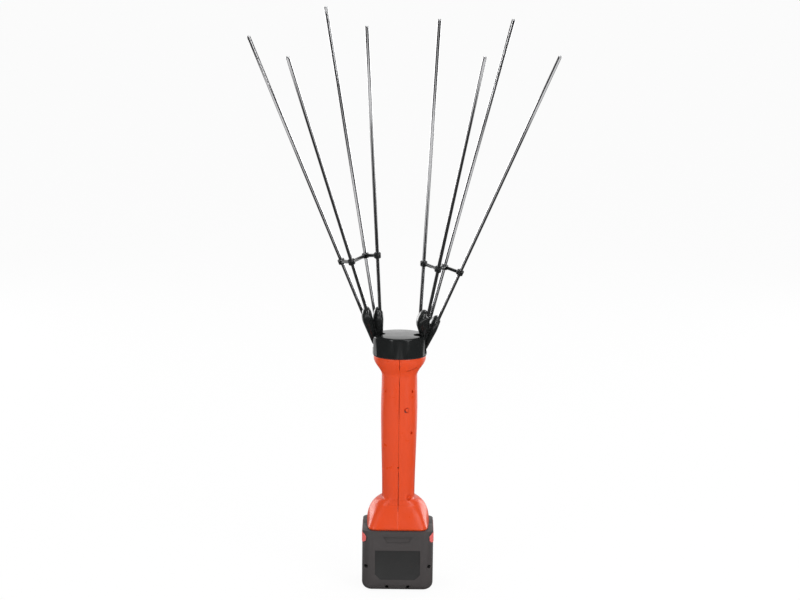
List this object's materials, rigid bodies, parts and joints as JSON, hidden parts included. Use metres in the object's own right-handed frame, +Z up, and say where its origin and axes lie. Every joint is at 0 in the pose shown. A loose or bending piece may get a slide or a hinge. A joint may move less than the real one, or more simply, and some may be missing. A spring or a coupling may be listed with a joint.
{
  "type": "olive harvester",
  "caption": "Hand-held electric olive harvester: two leaning four-rod rakes clap on a black head, above an orange handle and a square pull-off battery pack",
  "frame": {"origin": "centre of the battery pack's flat bottom face", "axes": "+Z up along the handle, +X to the right seen from the front, -Y towards the front, where the rakes lean"},
  "size_m": [0.3308, 0.2133, 0.6544],
  "materials": {
    "shell_orange": "moulded, fine satin grain",
    "black_plastic": "moulded, semi-gloss",
    "pack_grey": "moulded, fine grain",
    "button_red": "moulded, satin",
    "dark_plastic": "moulded, satin",
    "rod_composite": "drawn fibre rod, dull sheen",
    "screw_steel": "blackened",
    "gasket_rubber": "matt",
    "lead_cover": "soft",
    "bare_steel": "ground",
    "cast_alloy": "die cast",
    "brass": "plain",
    "magnet": "sintered",
    "cell_can": "wrapped can"
  },
  "bodies": {
    "handle": {"handle_shell_left": "shell_orange", "handle_shell_right": "shell_orange", "shell_screws": "screw_steel", "head_cap": "black_plastic", "cap_screws": "screw_steel", "head_gasket": "gasket_rubber", "head_frame": "cast_alloy", "pivot_pin": "bare_steel", "pivot_clips": "bare_steel", "crank_bearing_upper": "bare_steel", "crank_bearing_lower": "bare_steel", "ring_gear": "cast_alloy", "gearbox_cover": "cast_alloy", "motor_can": "bare_steel", "motor_magnets": "magnet", "motor_endbell": "dark_plastic", "switch_body": "dark_plastic", "switch_spring": "bare_steel", "terminal_block": "dark_plastic", "terminal_blades": "brass", "inner_leads": "lead_cover"},
    "rotor": {"motor_shaft": "bare_steel", "armature": "bare_steel", "commutator": "brass", "sun_gear": "bare_steel"},
    "crank": {"planet_carrier": "bare_steel", "crank_shaft": "bare_steel", "eccentric_upper": "bare_steel", "eccentric_lower": "bare_steel"},
    "planet_1": {"planet_gear_1": "bare_steel"},
    "planet_2": {"planet_gear_2": "bare_steel"},
    "planet_3": {"planet_gear_3": "bare_steel"},
    "rake_left": {"rake_arm_left": "cast_alloy", "arm_bush_left": "brass", "rake_holder_left": "black_plastic", "rake_rods_left": "rod_composite", "rod_clip_left": "black_plastic"},
    "rake_right": {"rake_arm_right": "cast_alloy", "arm_bush_right": "brass", "rake_holder_right": "black_plastic", "rake_rods_right": "rod_composite", "rod_clip_right": "black_plastic"},
    "battery": {"battery_case_front": "pack_grey", "battery_case_back": "pack_grey", "battery_cells": "cell_can", "battery_screws": "screw_steel", "battery_contacts": "brass", "latch_spring_left": "bare_steel", "latch_spring_right": "bare_steel"},
    "latch_left": {"latch_button_left": "button_red"},
    "latch_right": {"latch_button_right": "button_red"},
    "switch": {"switch_button": "dark_plastic"}
  },
  "joints": [
    {"name": "rake_left_swing", "type": "hinge", "parent": "handle", "child": "rake_left", "pos_m": [0, 0, 0.27], "axis": [0, -1, 0], "range_deg": [-4, 4]},
    {"name": "rake_right_swing", "type": "hinge", "parent": "handle", "child": "rake_right", "pos_m": [0, 0, 0.27], "axis": [0, 1, 0], "range_deg": [-4, 4]},
    {"name": "crank_turn", "type": "hinge", "parent": "handle", "child": "crank", "pos_m": [0, 0, 0.24], "axis": [0, 0, 1], "range_deg": [-45, 45]},
    {"name": "rotor_spin", "type": "hinge", "parent": "handle", "child": "rotor", "pos_m": [0, 0, 0.19], "axis": [0, 0, 1], "range_deg": [-162, 162]},
    {"name": "planet_1_spin", "type": "hinge", "parent": "crank", "child": "planet_1", "pos_m": [0.00877, 0, 0.227], "axis": [0, 0, 1], "range_deg": [-146.25, 146.25]},
    {"name": "planet_2_spin", "type": "hinge", "parent": "crank", "child": "planet_2", "pos_m": [-0.00439, 0.0076, 0.227], "axis": [0, 0, 1], "range_deg": [-146.25, 146.25]},
    {"name": "planet_3_spin", "type": "hinge", "parent": "crank", "child": "planet_3", "pos_m": [-0.00439, -0.0076, 0.227], "axis": [0, 0, 1], "range_deg": [-146.25, 146.25]},
    {"name": "battery_pull", "type": "slide", "parent": "handle", "child": "battery", "axis": [0, 0, -1], "range_m": [0, 0.06]},
    {"name": "latch_left_press", "type": "slide", "parent": "battery", "child": "latch_left", "axis": [1, 0, 0], "range_m": [0, 0.0025], "stiffness_N_per_m": 800, "springref_m": -0.002, "deforming": ["latch_spring_left"]},
    {"name": "latch_right_press", "type": "slide", "parent": "battery", "child": "latch_right", "axis": [-1, 0, 0], "range_m": [0, 0.0025], "stiffness_N_per_m": 800, "springref_m": -0.002, "deforming": ["latch_spring_right"]},
    {"name": "switch_press", "type": "slide", "parent": "handle", "child": "switch", "axis": [0, -1, 0], "range_m": [0, 0.0025], "stiffness_N_per_m": 800, "springref_m": -0.002, "deforming": ["switch_spring"]}
  ],
  "couplings": [
    {"joint": "rake_right_swing", "follows": "rake_left_swing", "ratio": 1},
    {"joint": "crank_turn", "follows": "rake_left_swing", "ratio": 11.25},
    {"joint": "rotor_spin", "follows": "rake_left_swing", "ratio": 40.5},
    {"joint": "planet_1_spin", "follows": "rake_left_swing", "ratio": -36.562},
    {"joint": "planet_2_spin", "follows": "rake_left_swing", "ratio": -36.562},
    {"joint": "planet_3_spin", "follows": "rake_left_swing", "ratio": -36.562}
  ]
}
